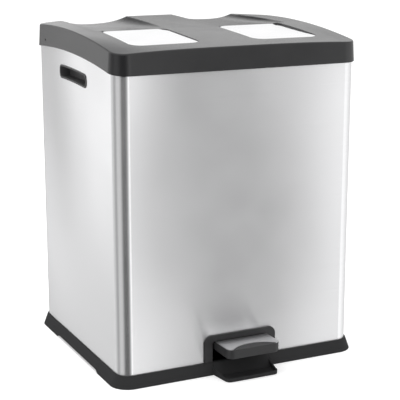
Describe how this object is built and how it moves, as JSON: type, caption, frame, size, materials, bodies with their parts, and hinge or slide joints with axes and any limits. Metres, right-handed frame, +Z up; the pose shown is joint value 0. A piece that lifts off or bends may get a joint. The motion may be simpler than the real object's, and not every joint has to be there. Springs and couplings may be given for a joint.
{
  "type": "double recycling bin",
  "caption": "Upright steel double recycling bin with one arched plastic lid opened by a front pedal, and two lift-out inner buckets side by side.",
  "frame": {"origin": "centre of the footprint, pedal included, on the floor", "axes": "+Z up, front (pedal) towards -Y, +X to the right seen from the front"},
  "size_m": [0.523, 0.5084, 0.6519],
  "materials": {
    "black_plastic": "fine-grained black polypropylene",
    "inner_plastic": "smooth black polypropylene",
    "bucket_plastic": "satin charcoal polypropylene",
    "grip_plastic": "smooth black sleeve",
    "foot_rubber": "matt black rubber",
    "brushed_wrap": "stainless steel brushed along its height",
    "brushed_plate": "pale satin steel",
    "tread_steel": "brushed steel tread",
    "zinc_steel": "zinc-plated pressed steel",
    "bright_pins": "bright drawn wire and pins",
    "screw_steel": "zinc-plated screw and rivet heads"
  },
  "bodies": {
    "body": {"body_shell": "brushed_wrap", "plinth": "black_plastic", "foot_pads": "foot_rubber", "toe_tray": "black_plastic", "pedal_surround": "black_plastic", "grip_cup_left": "black_plastic", "grip_cup_right": "black_plastic", "top_collar": "inner_plastic", "bucket_deck": "inner_plastic", "deck_screws": "screw_steel", "divider_rail": "inner_plastic", "axle_bracket_left": "zinc_steel", "axle_bracket_right": "zinc_steel", "bracket_screws": "screw_steel", "pedal_axle": "zinc_steel", "axle_clips": "zinc_steel", "rod_guides": "inner_plastic", "guide_rivets": "screw_steel", "hinge_bracket_left": "zinc_steel", "hinge_bracket_right": "zinc_steel", "hinge_pin_left": "bright_pins", "hinge_pin_right": "bright_pins", "hinge_screws": "screw_steel"},
    "lid": {"lid_shell": "black_plastic", "lid_plate_left": "brushed_plate", "lid_plate_right": "brushed_plate", "lid_liner": "inner_plastic", "liner_screws": "screw_steel", "lid_buffers": "foot_rubber", "crank_fork": "zinc_steel", "crank_pin": "bright_pins"},
    "pedal": {"pedal_lever": "zinc_steel", "lever_pin": "bright_pins", "pedal_body": "black_plastic", "pedal_tread": "tread_steel", "pedal_screws": "screw_steel"},
    "rod": {"push_rod": "zinc_steel"},
    "bucket_left": {"inner_bucket_left": "bucket_plastic"},
    "bail_left": {"bail_wire_left": "bright_pins", "bail_grip_left": "grip_plastic"},
    "bucket_right": {"inner_bucket_right": "bucket_plastic"},
    "bail_right": {"bail_wire_right": "bright_pins", "bail_grip_right": "grip_plastic"}
  },
  "joints": [
    {"name": "lid_hinge", "type": "hinge", "parent": "body", "child": "lid", "pos_m": [0, 0.24875, 0.598], "axis": [-1, 0, 0], "range_deg": [0, 80]},
    {"name": "pedal_press", "type": "hinge", "parent": "body", "child": "pedal", "pos_m": [0, -0.03825, 0.044], "axis": [1, 0, 0], "range_deg": [0, 8.6]},
    {"name": "rod_lift", "type": "slide", "parent": "body", "child": "rod", "axis": [0, 0, 1], "range_m": [0, 0.0389]},
    {"name": "bucket_left_lift", "type": "slide", "parent": "body", "child": "bucket_left", "axis": [0, 0, 1], "range_m": [0, 0.09]},
    {"name": "bail_left_swing", "type": "hinge", "parent": "bucket_left", "child": "bail_left", "pos_m": [-0.11375, 0.0164, 0.496], "axis": [0, 1, 0], "range_deg": [0, 162.9]},
    {"name": "bucket_right_lift", "type": "slide", "parent": "body", "child": "bucket_right", "axis": [0, 0, 1], "range_m": [0, 0.09]},
    {"name": "bail_right_swing", "type": "hinge", "parent": "bucket_right", "child": "bail_right", "pos_m": [0.11375, 0.0164, 0.496], "axis": [0, -1, 0], "range_deg": [0, 162.9]}
  ],
  "couplings": [
    {"joint": "pedal_press", "follows": "lid_hinge", "ratio": 0.10725},
    {"joint": "rod_lift", "follows": "lid_hinge", "m_per_rad": 0.027789}
  ]
}
